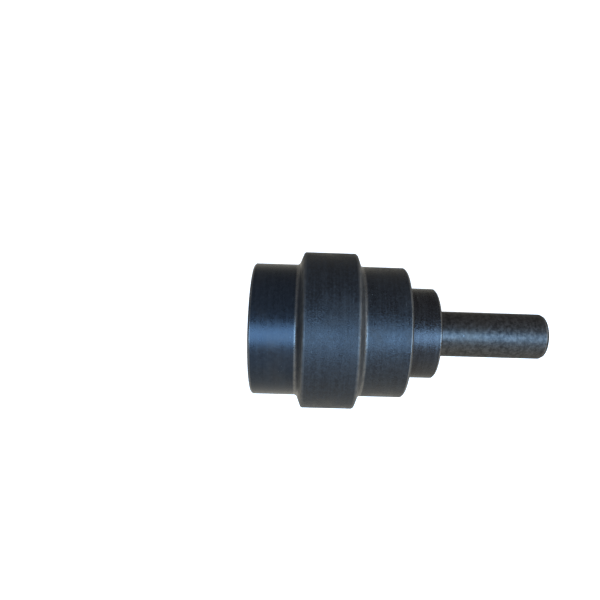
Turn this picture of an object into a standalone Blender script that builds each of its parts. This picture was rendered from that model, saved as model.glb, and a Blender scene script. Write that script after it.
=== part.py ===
# Single-ended track carrier roller with a centre flange.
#
# A flanged shell turns on two ball bearings on a cantilevered spindle. A floating face seal under
# the seal collar closes the inboard side, and an end cover with an oil plug closes the outboard side.
# Metres, +Z up. The axis of rotation is +Y. The origin is on the axis, in the plane of the
# seal collar's outer face, so the spindle stands out along +Y and the shell lies towards -Y.

from math import acos, asin, cos, pi, radians, sin, tan, tau

import bmesh
import bpy
from mathutils import Matrix, Vector

# Clearances
touching_gap = 0.0003           # left between pieces that touch
running_gap = 0.0004            # left round the rolling balls
weld_distance = 0.000001
sharp_angle = 32                # degrees; edges that turn by more are shaded sharp

# Spindle
spindle_radius = 0.0150
spindle_standout = 0.0736       # from the collar's face to the free end
shoulder_radius = 0.0180
small_seat_radius = 0.0125      # outboard bearing seat and nut thread
spindle_end_inset = 0.0175      # from the shell's outboard face to the spindle's inner end
small_seat_relief = 0.0017      # the small seat starts this far inboard of its bearing
spindle_end_chamfer = (0.0009, 0.0018)      # radial, axial
spindle_tail_chamfer = 0.0015
shoulder_chamfer = 0.0006
small_seat_chamfer = 0.0008
keyway_depth = 0.0025
centre_drill_radius = 0.0025
centre_drill_pilot = (0.0010, 0.0028)       # radius, depth beyond the 60 degree cone
centre_drill_tip = 0.0006

# Seal collar
collar_radius = 0.0298
collar_standout = 0.0203        # from the shell's inboard face
collar_chamfer = 0.0008
collar_bore_chamfer = 0.0010
collar_back_chamfer = 0.0005
collar_groove_floor = 0.0175
collar_groove = (-0.0087, -0.0055)          # from and to along Y
seal_cup_radius = 0.0260        # the same in the collar and in the shell
seal_cup_depth = 0.0100

# Floating face seal: depths are from the seal plane, the same on both sides
half_seal_gap = 0.0005          # from the seal plane to the collar's back or the shell's step
seal_ring_bore = 0.0192
seal_ring_depth = 0.0091
seal_lip_radius = 0.0252
seal_lip_depth = 0.0034
seal_lip_chamfer = 0.0004
seal_ramp_radii = (0.0226, 0.0204)          # at the lip and at the ring's far end
toric_depth = 0.0060
toric_section = 0.0019          # radius of the toric's section

# Shell
shell_width = 0.0980
tread_radius = 0.0430
flange_radius = 0.0513
flange_root_width = 0.0400
flange_top_width = 0.0336
flange_root_fillet = 0.0022
flange_top_fillet = 0.0018
shell_chamfer = 0.00105
mouth_chamfer = 0.0004
mouth_radius = 0.0308           # running clearance round the collar
mouth_depth = 0.0050
web_radius = 0.0235
web_thickness = 0.0040
bearing_bore_radius = 0.0310
cover_bore_radius = 0.0330
cover_bore_chamfer = 0.0008
cover_seat_depth = 0.0123       # from the shell's outboard face

# Bearings
inboard_bearing = {
    "bore": 0.0150, "width": 0.0160, "ball": 0.0047625, "pitch": 0.0230, "count": 9,
}
outboard_bearing = {
    "bore": 0.0125, "width": 0.0170, "ball": 0.0057500, "pitch": 0.02175, "count": 7,
}
outboard_bearing_inset = 0.0280     # from the shell's outboard face to the bearing's side
race_chamfer = 0.0008
race_land_share = 0.55          # from the pitch circle to a race's land, in ball radii
cage_half_depth = 0.0015        # in the radial direction
cage_back_wall = 0.0012
cage_front_share = 0.6          # how far the fingers reach past the balls' middle, in ball radii
outer_spacer_bore = 0.0285

# Circlips
bearing_circlip_thickness = 0.0020
cover_circlip_thickness = 0.0025
clip_groove_depth = 0.0018
clip_ring_reach = 0.0028        # from the bore inwards to the ring's inner edge
clip_lug_reach = 0.0068         # from the bore inwards to the lug's inner edge
clip_lug_hole_radius = 0.0013
clip_lug_hole_inset = 0.0029    # from the lug's inner edge to the hole's middle
clip_half_opening = 8           # degrees
clip_lug_width = 14             # degrees
clip_lug_flank = 1.5            # degrees from the lug's full reach to the plain ring

# Lock washer and lock nut
lock_washer_thickness = 0.0012
lock_washer_radius = 0.0172
washer_tab_reach = 0.0030
washer_tab_count = 9
washer_tab_root = 8             # degrees each side of a tab's middle
washer_tab_tip = 6              # degrees each side of a tab's middle
washer_plain_share = 0.30       # of a tab's pitch, from its middle to where the ring is plain again
washer_key_reach = 0.0020       # into the keyway
lock_nut_width = 0.0070
lock_nut_radius = 0.0190
lock_nut_chamfer = 0.0012
lock_nut_bore_chamfer = 0.0006
nut_slot_width = 0.0050
nut_slot_depth = 0.0020

# End cover
cover_thickness = 0.0067
cover_rim_chamfers = (0.0006, 0.0004)       # outside, inside
cover_groove_floor = 0.0305
cover_groove = (0.0018, 0.0050)             # from and to, inwards from the outer face
cover_boss_radius = 0.0110
cover_boss_height = 0.0028
cover_dish_radii = (0.0275, 0.0130)
cover_dish_depth = 0.0008
counterbore_radius = 0.0105
counterbore_depth = 0.0020

# Oil plug and its washer
plug_washer_thickness = 0.0012
plug_washer_radii = (0.0065, 0.0100)
plug_head_radius = 0.0095
plug_head_height = 0.0040
plug_head_chamfer = 0.0007
plug_shank_radius = 0.0060
plug_shank_chamfer = 0.0010
plug_shank_reach = 0.0022       # inwards past the cover's inner face, inside its boss
plug_socket_across_flats = 0.0080
plug_socket_depth = 0.0055
cutter_overrun = 0.0010         # how far a cutter reaches past the face it opens

# Segments round a full turn
outer_segments = 48
spindle_segments = 36
inner_segments = 30
ring_segments = 26

# Planes along the axis, from inboard to outboard
free_end = spindle_standout
shell_inboard_face = -collar_standout
shell_outboard_face = shell_inboard_face - shell_width
flange_middle = (shell_inboard_face + shell_outboard_face) / 2
mouth_floor = shell_inboard_face - mouth_depth
seal_plane = mouth_floor + half_seal_gap
collar_back = seal_plane + half_seal_gap
collar_cup_floor = collar_back + seal_cup_depth
shell_cup_floor = mouth_floor - seal_cup_depth
bearing_shoulder = shell_cup_floor - web_thickness
inboard_bearing_centre = bearing_shoulder - touching_gap - inboard_bearing["width"] / 2
outboard_bearing_side = shell_outboard_face + outboard_bearing_inset
outboard_bearing_centre = outboard_bearing_side + outboard_bearing["width"] / 2
spacer_inboard_end = inboard_bearing_centre - inboard_bearing["width"] / 2 - touching_gap
spacer_outboard_end = outboard_bearing_centre + outboard_bearing["width"] / 2 + touching_gap
small_seat_start = spacer_outboard_end + small_seat_relief
spindle_inner_end = shell_outboard_face + spindle_end_inset
cover_seat = shell_outboard_face + cover_seat_depth
cover_inner_face = cover_seat - touching_gap
cover_outer_face = cover_inner_face - cover_thickness
bearing_clip_low = outboard_bearing_side - touching_gap - bearing_circlip_thickness
cover_clip_low = cover_outer_face - touching_gap - cover_circlip_thickness


# Scene and materials

def clear_scene():
    for thing in list(bpy.data.objects):
        bpy.data.objects.remove(thing, do_unlink=True)


def finish(name, colour, roughness, metallic):
    material = bpy.data.materials.new(name)
    material.use_nodes = True
    shader = material.node_tree.nodes["Principled BSDF"]
    shader.inputs["Base Color"].default_value = (*colour, 1.0)
    shader.inputs["Roughness"].default_value = roughness
    shader.inputs["Metallic"].default_value = metallic
    material.diffuse_color = (*colour, 1.0)
    return material


def blackened_steel(name):
    return finish(name, (0.030, 0.042, 0.062), 0.42, 0.75)


def bearing_steel(name):
    return finish(name, (0.56, 0.57, 0.58), 0.22, 1.0)


def spring_steel(name):
    return finish(name, (0.06, 0.06, 0.065), 0.45, 0.8)


def machined_steel(name):
    return finish(name, (0.42, 0.43, 0.44), 0.35, 1.0)


def seal_iron(name):
    return finish(name, (0.30, 0.31, 0.32), 0.30, 0.9)


def nitrile_rubber(name):
    return finish(name, (0.018, 0.018, 0.019), 0.70, 0.0)


def polyamide(name):
    return finish(name, (0.62, 0.56, 0.42), 0.50, 0.0)


def copper(name):
    return finish(name, (0.72, 0.38, 0.25), 0.35, 1.0)


# Building blocks

def frame_on_axis(name):
    frame = bpy.data.objects.new(name, None)
    frame.empty_display_size = 0.02
    bpy.context.collection.objects.link(frame)
    return frame


def add_object(name, shape, material, parent=None):
    bmesh.ops.recalc_face_normals(shape, faces=shape.faces)
    mesh = bpy.data.meshes.new(name)
    shape.to_mesh(mesh)
    shape.free()
    mesh.shade_smooth()
    mesh.set_sharp_from_angle(angle=radians(sharp_angle))
    if material:
        mesh.materials.append(material)
    thing = bpy.data.objects.new(name, mesh)
    thing.parent = parent
    bpy.context.collection.objects.link(thing)
    return thing


def add_cutter(name, shape, parent):
    cutter = add_object(name, shape, None, parent)
    cutter.display_type = "WIRE"
    cutter.hide_render = True
    return cutter


def cut(thing, cutter):
    boolean = thing.modifiers.new(cutter.name, "BOOLEAN")
    boolean.operation = "DIFFERENCE"
    boolean.solver = "EXACT"
    boolean.object = cutter


def outline(corners, fillet_steps=2):
    """Corners are (radius, y), or (radius, y, "chamfer" or "fillet", size)."""
    points = []
    for index, corner in enumerate(corners):
        here = Vector(corner[:2])
        if len(corner) == 2:
            points.append(here)
            continue
        kind, size = corner[2:]
        before = (Vector(corners[index - 1][:2]) - here).normalized()
        after = (Vector(corners[(index + 1) % len(corners)][:2]) - here).normalized()
        if kind == "chamfer":
            points += [here + before * size, here + after * size]
            continue
        half_angle = before.angle(after) / 2
        reach = size / tan(half_angle)
        centre = here + (before + after).normalized() * size / sin(half_angle)
        first = here + before * reach - centre
        last = here + after * reach - centre
        for step in range(fillet_steps + 1):
            points.append(centre + first.lerp(last, step / fillet_steps).normalized() * size)
    return points


def turned(name, points, segments, material, parent):
    """A profile of (radius, y) points, closed in itself or by the axis, spun round Y."""
    shape = bmesh.new()
    verts = [shape.verts.new((radius, y, 0.0)) for radius, y in points]
    edges = [shape.edges.new(pair) for pair in zip(verts, verts[1:])]
    if points[0][0] > 0.0:
        edges.append(shape.edges.new((verts[-1], verts[0])))
    bmesh.ops.spin(shape, geom=verts + edges, cent=(0.0, 0.0, 0.0), axis=(0.0, 1.0, 0.0),
                   angle=tau, steps=segments, use_merge=True)
    bmesh.ops.remove_doubles(shape, verts=shape.verts, dist=weld_distance)
    return add_object(name, shape, material, parent)


def round_section_ring(name, ring_radius, section_radius, y, material, parent):
    section_steps = 6
    points = []
    for step in range(section_steps):
        angle = tau * (step + 0.5) / section_steps
        points.append((ring_radius + section_radius * cos(angle), y + section_radius * sin(angle)))
    return turned(name, points, ring_segments, material, parent)


def flat_ring(name, stations, y_low, y_high, material, parent, closed=True):
    """A plate between an inner and an outer edge: stations are (angle, inner radius, outer radius)."""
    shape = bmesh.new()
    sections = []
    for angle, inner, outer in stations:
        around = Vector((cos(angle), 0.0, sin(angle)))
        corners = ((inner, y_low), (outer, y_low), (outer, y_high), (inner, y_high))
        sections.append([shape.verts.new(around * radius + Vector((0.0, y, 0.0)))
                         for radius, y in corners])
    pairs = list(zip(sections, sections[1:]))
    if closed:
        pairs.append((sections[-1], sections[0]))
    for this, following in pairs:
        for side in range(4):
            other = (side + 1) % 4
            shape.faces.new((this[side], this[other], following[other], following[side]))
    if not closed:
        shape.faces.new(sections[0])
        shape.faces.new(reversed(sections[-1]))
    return add_object(name, shape, material, parent)


def box_shape(low, high):
    shape = bmesh.new()
    low, high = Vector(low), Vector(high)
    size = high - low
    place = Matrix.Translation((low + high) / 2) @ Matrix.Diagonal((*size, 1.0))
    bmesh.ops.create_cube(shape, size=1.0, matrix=place)
    return shape


# Spindle side

def centre_drill(end, inward):
    """Points of a 60 degree centre hole from its mouth to its tip; inward is -1 or +1 along Y."""
    pilot_radius, pilot_length = centre_drill_pilot
    cone_depth = (centre_drill_radius - pilot_radius) / tan(radians(30))
    pilot_end = cone_depth + pilot_length
    return [
        (centre_drill_radius, end),
        (pilot_radius, end + inward * cone_depth),
        (pilot_radius, end + inward * pilot_end),
        (0.0, end + inward * (pilot_end + centre_drill_tip)),
    ]


def spindle(parent):
    radial_chamfer, axial_chamfer = spindle_end_chamfer
    shoulder_front = collar_cup_floor - touching_gap
    points = centre_drill(free_end, -1)[::-1]
    points += outline([
        (spindle_radius - radial_chamfer, free_end),
        (spindle_radius, free_end - axial_chamfer),
        (spindle_radius, shoulder_front),
        (shoulder_radius, shoulder_front, "chamfer", shoulder_chamfer),
        (shoulder_radius, bearing_shoulder, "chamfer", shoulder_chamfer),
        (spindle_radius, bearing_shoulder),
        (spindle_radius, small_seat_start, "chamfer", small_seat_chamfer),
        (small_seat_radius, small_seat_start),
        (small_seat_radius, spindle_inner_end, "chamfer", spindle_tail_chamfer),
        (centre_drill_radius, spindle_inner_end),
    ])
    points += centre_drill(spindle_inner_end, 1)[1:]
    thing = turned("spindle", points, spindle_segments, blackened_steel("spindle_finish"), parent)
    keyway = box_shape(
        (-nut_slot_width / 2, spindle_inner_end - cutter_overrun, small_seat_radius - keyway_depth),
        (nut_slot_width / 2, outboard_bearing_side - touching_gap, small_seat_radius + cutter_overrun))
    cut(thing, add_cutter("keyway_cutter", keyway, parent))


def seal_collar(parent):
    bore = spindle_radius + touching_gap
    groove_end, groove_start = collar_groove
    points = outline([
        (bore, 0.0, "chamfer", collar_bore_chamfer),
        (collar_radius, 0.0, "chamfer", collar_chamfer),
        (collar_radius, collar_back, "chamfer", collar_back_chamfer),
        (seal_cup_radius, collar_back),
        (seal_cup_radius, collar_cup_floor),
        (bore, collar_cup_floor),
        (bore, groove_end),
        (collar_groove_floor, groove_end),
        (collar_groove_floor, groove_start),
        (bore, groove_start),
    ])
    turned("seal_collar", points, outer_segments, blackened_steel("collar_finish"), parent)
    round_section_ring("collar_o_ring", (spindle_radius + collar_groove_floor) / 2,
                       (collar_groove_floor - spindle_radius) / 2 - touching_gap,
                       (groove_start + groove_end) / 2, nitrile_rubber("collar_o_ring_rubber"), parent)


def floating_seal_half(prefix, direction, parent):
    """One metal ring and its toric, mirrored about the seal plane; direction is +1 or -1 along Y."""
    def at(depth):
        return seal_plane + direction * depth

    face = at(touching_gap / 2)
    ramp_top, ramp_foot = seal_ramp_radii
    points = outline([
        (seal_ring_bore, face),
        (seal_lip_radius, face, "chamfer", seal_lip_chamfer),
        (seal_lip_radius, at(seal_lip_depth)),
        (ramp_top, at(seal_lip_depth)),
        (ramp_foot, at(seal_ring_depth)),
        (seal_ring_bore, at(seal_ring_depth)),
    ])
    turned(prefix + "_seal_ring", points, inner_segments, seal_iron(prefix + "_seal_iron"), parent)
    round_section_ring(prefix + "_seal_toric", seal_cup_radius - touching_gap - toric_section,
                       toric_section, at(toric_depth), nitrile_rubber(prefix + "_toric_rubber"), parent)


def lock_washer(parent):
    """A flat ring with outward tabs; the first tab's inner edge is a key that lies in the keyway."""
    inner, outer = small_seat_radius + touching_gap, lock_washer_radius
    key_half_width = nut_slot_width / 2 - touching_gap
    key_half_angle = asin(key_half_width / inner)
    tab_pitch = tau / washer_tab_count
    plain_half_angle = tab_pitch * washer_plain_share
    stations = []
    for tab in range(washer_tab_count):
        middle = pi / 2 + tab * tab_pitch
        root, tip, bore = radians(washer_tab_root), radians(washer_tab_tip), inner
        if tab == 0:
            root, tip, bore = key_half_angle, key_half_angle - radians(1), inner - washer_key_reach
        stations += [
            (middle - plain_half_angle, inner, outer),
            (middle - root, inner, outer),
            (middle - tip, bore, outer + washer_tab_reach),
            (middle + tip, bore, outer + washer_tab_reach),
            (middle + root, inner, outer),
            (middle + plain_half_angle, inner, outer),
        ]
    high = outboard_bearing_side - touching_gap
    flat_ring("lock_washer", stations, high - lock_washer_thickness, high,
              spring_steel("lock_washer_steel"), parent)


def lock_nut(parent):
    high = outboard_bearing_side - 2 * touching_gap - lock_washer_thickness
    low = high - lock_nut_width
    bore = small_seat_radius + touching_gap
    points = outline([
        (bore, low, "chamfer", lock_nut_bore_chamfer),
        (lock_nut_radius, low, "chamfer", lock_nut_chamfer),
        (lock_nut_radius, high, "chamfer", lock_nut_bore_chamfer),
        (bore, high, "chamfer", lock_nut_bore_chamfer),
    ])
    thing = turned("lock_nut", points, inner_segments, machined_steel("lock_nut_steel"), parent)
    slots = bmesh.new()
    slot_middle = lock_nut_radius - nut_slot_depth / 2 + cutter_overrun / 2
    size = (nut_slot_width, lock_nut_width + 2 * cutter_overrun, nut_slot_depth + cutter_overrun, 1.0)
    for quarter in range(4):
        place = Matrix.Rotation(quarter * pi / 2, 4, "Y")
        place @= Matrix.Translation((0.0, (low + high) / 2, slot_middle))
        bmesh.ops.create_cube(slots, size=1.0, matrix=place @ Matrix.Diagonal(size))
    cut(thing, add_cutter("nut_slot_cutter", slots, parent))


# Bearings and spacers

def race_groove(bearing, side):
    """Groove points from -y to +y; side is -1 for the inner race and +1 for the outer race."""
    steps = 5
    groove = bearing["ball"] + running_gap
    edge = acos(race_land_share * bearing["ball"] / groove)
    points = []
    for step in range(steps + 1):
        angle = -edge + 2 * edge * step / steps
        points.append((bearing["pitch"] + side * groove * cos(angle), groove * sin(angle)))
    return points


def bearing_race(name, bearing, side, fitted_radius, centre, material, parent):
    half_width = bearing["width"] / 2
    groove = race_groove(bearing, side)
    land = groove[0][0]
    corners = [(fitted_radius, half_width, "chamfer", race_chamfer), (land, half_width)]
    corners += groove[::-1]
    corners += [(land, -half_width), (fitted_radius, -half_width, "chamfer", race_chamfer)]
    points = [(radius, y + centre) for radius, y in outline(corners)]
    turned(name, points, inner_segments, material, parent)


def crown_cage(name, bearing, centre, open_side, parent):
    """A one-piece cage whose pockets are open towards open_side, which is +1 or -1 along Y."""
    pocket = bearing["ball"] + running_gap
    inner, outer = bearing["pitch"] - cage_half_depth, bearing["pitch"] + cage_half_depth
    front = centre + open_side * cage_front_share * bearing["ball"]
    back = centre - open_side * (pocket + cage_back_wall)
    points = [(inner, back), (outer, back), (outer, front), (inner, front)]
    thing = turned(name, points, 4 * bearing["count"], polyamide(name + "_polyamide"), parent)
    pockets = bmesh.new()
    for index in range(bearing["count"]):
        place = Matrix.Translation(ball_place(bearing, index, centre))
        ball_shape(pockets, pocket, place)
    cut(thing, add_cutter(name + "_pocket_cutter", pockets, parent))


def ball_shape(shape, radius, place=None):
    bmesh.ops.create_uvsphere(shape, u_segments=10, v_segments=6, radius=radius,
                              matrix=place or Matrix.Identity(4))


def ball_place(bearing, index, centre):
    angle = tau * index / bearing["count"] + pi / 2
    return Vector((bearing["pitch"] * cos(angle), centre, bearing["pitch"] * sin(angle)))


def balls(prefix, bearing, centre, parent):
    shape = bmesh.new()
    ball_shape(shape, bearing["ball"])
    first = add_object(prefix + "_ball_1", shape, bearing_steel(prefix + "_ball_steel"), parent)
    first.location = ball_place(bearing, 0, centre)
    for index in range(1, bearing["count"]):
        ball = bpy.data.objects.new(f"{prefix}_ball_{index + 1}", first.data)
        ball.location = ball_place(bearing, index, centre)
        ball.parent = parent
        bpy.context.collection.objects.link(ball)


def ball_bearing(prefix, bearing, centre, open_side, still, turning, rolling):
    bearing_race(prefix + "_bearing_inner_race", bearing, -1, bearing["bore"] + touching_gap,
                 centre, bearing_steel(prefix + "_inner_race_steel"), still)
    bearing_race(prefix + "_bearing_outer_race", bearing, 1, bearing_bore_radius - touching_gap,
                 centre, bearing_steel(prefix + "_outer_race_steel"), turning)
    crown_cage(prefix + "_bearing_cage", bearing, centre, open_side, rolling)
    balls(prefix, bearing, centre, rolling)


def spacer(name, inner, outer, parent):
    points = [
        (inner, spacer_outboard_end), (outer, spacer_outboard_end),
        (outer, spacer_inboard_end), (inner, spacer_inboard_end),
    ]
    turned(name, points, inner_segments, machined_steel(name + "_steel"), parent)


# Shell side

def circlip_groove(low, thickness, bore, depth):
    """Four corners of a groove that holds a circlip whose outboard side is at low."""
    start, end = low - touching_gap, low + thickness + touching_gap
    return [(bore, end), (bore + depth, end), (bore + depth, start), (bore, start)]


def roller_shell(parent):
    half_root, half_top = flange_root_width / 2, flange_top_width / 2
    corners = [
        (tread_radius, shell_inboard_face, "chamfer", shell_chamfer),
        (tread_radius, flange_middle + half_root, "fillet", flange_root_fillet),
        (flange_radius, flange_middle + half_top, "fillet", flange_top_fillet),
        (flange_radius, flange_middle - half_top, "fillet", flange_top_fillet),
        (tread_radius, flange_middle - half_root, "fillet", flange_root_fillet),
        (tread_radius, shell_outboard_face, "chamfer", shell_chamfer),
        (cover_bore_radius, shell_outboard_face, "chamfer", cover_bore_chamfer),
    ]
    corners += circlip_groove(cover_clip_low, cover_circlip_thickness, cover_bore_radius,
                              clip_groove_depth)[::-1]
    corners += [(cover_bore_radius, cover_seat), (bearing_bore_radius, cover_seat)]
    corners += circlip_groove(bearing_clip_low, bearing_circlip_thickness, bearing_bore_radius,
                              clip_groove_depth)[::-1]
    corners += [
        (bearing_bore_radius, bearing_shoulder),
        (web_radius, bearing_shoulder),
        (web_radius, shell_cup_floor),
        (seal_cup_radius, shell_cup_floor),
        (seal_cup_radius, mouth_floor),
        (mouth_radius, mouth_floor),
        (mouth_radius, shell_inboard_face, "chamfer", mouth_chamfer),
    ]
    turned("roller_shell", outline(corners), outer_segments, blackened_steel("shell_finish"), parent)


def circlip(name, low, thickness, bore, parent):
    """Internal circlip: an open ring with two drilled lugs that point inwards."""
    outer = bore + clip_groove_depth - touching_gap
    ring_inner, lug_inner = bore - clip_ring_reach, bore - clip_lug_reach
    steps = 26
    half_opening = radians(clip_half_opening)
    lug_end = radians(clip_half_opening + clip_lug_width)
    ring_start = lug_end + radians(clip_lug_flank)
    ring_sweep = tau - 2 * ring_start
    edge = [(half_opening, lug_inner), (lug_end, lug_inner)]
    edge += [(ring_start + ring_sweep * step / steps, ring_inner) for step in range(steps + 1)]
    edge += [(tau - lug_end, lug_inner), (tau - half_opening, lug_inner)]
    stations = [(angle - pi / 2, inner, outer) for angle, inner in edge]
    thing = flat_ring(name, stations, low, low + thickness, spring_steel(name + "_steel"), parent,
                      closed=False)
    holes = bmesh.new()
    hole_ring = lug_inner + clip_lug_hole_inset
    for side in (-1, 1):
        angle = -pi / 2 + side * (half_opening + lug_end) / 2
        middle = Vector((hole_ring * cos(angle), low + thickness / 2, hole_ring * sin(angle)))
        place = Matrix.Translation(middle) @ Matrix.Rotation(pi / 2, 4, "X")
        bmesh.ops.create_cone(holes, cap_ends=True, segments=12, radius1=clip_lug_hole_radius,
                              radius2=clip_lug_hole_radius, depth=3 * thickness, matrix=place)
    cut(thing, add_cutter(name + "_hole_cutter", holes, parent))


def end_cover(parent):
    """Returns the plane of the counterbore's floor, where the plug's washer lies."""
    rim = cover_bore_radius - touching_gap
    hole = plug_shank_radius + touching_gap
    outside_chamfer, inside_chamfer = cover_rim_chamfers
    groove_low, groove_high = (cover_outer_face + depth for depth in cover_groove)
    boss_end = cover_inner_face + cover_boss_height
    dish_outer, dish_inner = cover_dish_radii
    dish_floor = cover_outer_face + cover_dish_depth
    counterbore_floor = cover_outer_face + counterbore_depth
    points = outline([
        (hole, boss_end),
        (cover_boss_radius, boss_end),
        (cover_boss_radius, cover_inner_face),
        (rim, cover_inner_face, "chamfer", inside_chamfer),
        (rim, groove_high),
        (cover_groove_floor, groove_high),
        (cover_groove_floor, groove_low),
        (rim, groove_low),
        (rim, cover_outer_face, "chamfer", outside_chamfer),
        (dish_outer, cover_outer_face),
        (dish_outer - cover_dish_depth, dish_floor),
        (dish_inner + cover_dish_depth, dish_floor),
        (dish_inner, cover_outer_face),
        (counterbore_radius, cover_outer_face),
        (counterbore_radius, counterbore_floor),
        (hole, counterbore_floor),
    ])
    turned("end_cover", points, outer_segments, blackened_steel("cover_finish"), parent)
    round_section_ring("cover_o_ring", (cover_bore_radius + cover_groove_floor) / 2,
                       (cover_bore_radius - cover_groove_floor) / 2 - touching_gap,
                       (groove_low + groove_high) / 2, nitrile_rubber("cover_o_ring_rubber"), parent)
    return counterbore_floor


def oil_plug(washer_seat, parent):
    """The plug's head bears on a soft washer, which lies on the cover's counterbore at washer_seat."""
    washer_high = washer_seat - touching_gap
    washer_low = washer_high - plug_washer_thickness
    inner, outer = plug_washer_radii
    washer = [(inner, washer_low), (outer, washer_low), (outer, washer_high), (inner, washer_high)]
    turned("plug_washer", washer, ring_segments, copper("plug_washer_copper"), parent)

    head_high = washer_low - touching_gap
    head_low = head_high - plug_head_height
    shank_end = cover_inner_face + plug_shank_reach
    points = outline([
        (0.0, shank_end),
        (plug_shank_radius, shank_end, "chamfer", plug_shank_chamfer),
        (plug_shank_radius, head_high),
        (plug_head_radius, head_high),
        (plug_head_radius, head_low, "chamfer", plug_head_chamfer),
        (0.0, head_low),
    ])
    thing = turned("oil_plug", points, ring_segments, machined_steel("oil_plug_steel"), parent)
    socket = bmesh.new()
    corner_radius = plug_socket_across_flats / 2 / cos(pi / 6)
    middle = Vector((0.0, head_low + (plug_socket_depth - cutter_overrun) / 2, 0.0))
    place = Matrix.Translation(middle) @ Matrix.Rotation(pi / 2, 4, "X")
    bmesh.ops.create_cone(socket, cap_ends=True, segments=6, radius1=corner_radius,
                          radius2=corner_radius, depth=plug_socket_depth + cutter_overrun, matrix=place)
    cut(thing, add_cutter("hex_socket_cutter", socket, parent))


# Assembly

def build():
    clear_scene()
    still = frame_on_axis("spindle_frame")
    turning = frame_on_axis("roller_axis")
    inboard_rolling = frame_on_axis("inboard_cage_axis")
    outboard_rolling = frame_on_axis("outboard_cage_axis")

    spindle(still)
    seal_collar(still)
    floating_seal_half("fixed", 1, still)
    lock_washer(still)
    lock_nut(still)
    spacer("inner_spacer", spindle_radius + touching_gap, shoulder_radius, still)

    ball_bearing("inboard", inboard_bearing, inboard_bearing_centre, -1,
                 still, turning, inboard_rolling)
    ball_bearing("outboard", outboard_bearing, outboard_bearing_centre, 1,
                 still, turning, outboard_rolling)

    roller_shell(turning)
    floating_seal_half("rotating", -1, turning)
    spacer("outer_spacer", outer_spacer_bore, bearing_bore_radius - touching_gap, turning)
    circlip("bearing_circlip", bearing_clip_low, bearing_circlip_thickness,
            bearing_bore_radius, turning)
    washer_seat = end_cover(turning)
    circlip("cover_circlip", cover_clip_low, cover_circlip_thickness, cover_bore_radius, turning)
    oil_plug(washer_seat, turning)


build()
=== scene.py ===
from math import acos, cos, pi, radians, sin, tan, tau

import bmesh
import bpy
from mathutils import Matrix, Vector


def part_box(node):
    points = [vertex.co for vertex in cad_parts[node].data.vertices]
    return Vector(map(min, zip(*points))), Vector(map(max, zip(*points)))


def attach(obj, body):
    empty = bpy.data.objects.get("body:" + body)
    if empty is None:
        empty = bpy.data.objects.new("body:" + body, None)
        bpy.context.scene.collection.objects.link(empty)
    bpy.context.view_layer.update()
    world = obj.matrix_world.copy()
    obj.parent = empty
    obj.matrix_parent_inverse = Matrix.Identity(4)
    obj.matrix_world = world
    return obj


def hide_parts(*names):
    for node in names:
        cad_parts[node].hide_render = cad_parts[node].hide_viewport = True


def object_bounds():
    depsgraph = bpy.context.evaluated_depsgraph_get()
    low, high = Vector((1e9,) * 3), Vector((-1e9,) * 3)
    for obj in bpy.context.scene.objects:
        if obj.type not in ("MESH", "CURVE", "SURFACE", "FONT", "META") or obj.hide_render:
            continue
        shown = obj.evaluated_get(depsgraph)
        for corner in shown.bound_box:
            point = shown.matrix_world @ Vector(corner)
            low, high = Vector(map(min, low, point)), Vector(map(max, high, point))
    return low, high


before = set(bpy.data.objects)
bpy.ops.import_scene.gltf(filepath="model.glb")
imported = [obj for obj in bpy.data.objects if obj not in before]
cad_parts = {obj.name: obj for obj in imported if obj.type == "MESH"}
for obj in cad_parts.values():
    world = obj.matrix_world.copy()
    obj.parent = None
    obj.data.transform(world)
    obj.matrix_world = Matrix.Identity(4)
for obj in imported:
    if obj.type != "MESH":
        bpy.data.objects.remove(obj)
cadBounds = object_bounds()

turning = {
    "segments": 160,            # round the big pieces
    "smallSegments": 96,        # round bearings, seals and rings
    "sectionSteps": 28,         # round the section of a rubber ring
    "arcStep": radians(9),      # on fillets and grooves
    "arcRoom": 0.8,             # share of the room beside a corner that its rounding may take
    "edgeReach": 0.0005,        # how far bare metal shows beside an edge
    "softEdge": 0.00012,        # rounding of a broken edge
    "fadePeak": 0.25,           # where fading wear is strongest, as a share of the arc
    "fadeReach": 0.5,           # share of the arc over which it goes
    "onAxis": 1e-6,             # a smaller radius is a point on the axis
    "weld": 1e-7,
    "sharpAngle": radians(38),  # steeper edges stay crisp
    "roundAngle": radians(60),  # the same for balls and rubber rings
    "bevelAngle": radians(50),
}

fitting = {
    "gap": 0.0003,              # between pieces that touch
    "grooveRoom": 0.0007,       # beside a rubber ring in its groove
    "overcut": 0.001,           # how far a cutter stands out of its piece
}


def topOf(node):
    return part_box(node)[1].x     # outer radius of a round node


def spanOf(node):
    low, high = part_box(node)
    return low.y, high.y


def newObject(name, data):
    made = bpy.data.objects.new(name, data)
    bpy.context.scene.collection.objects.link(made)
    return made


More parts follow.
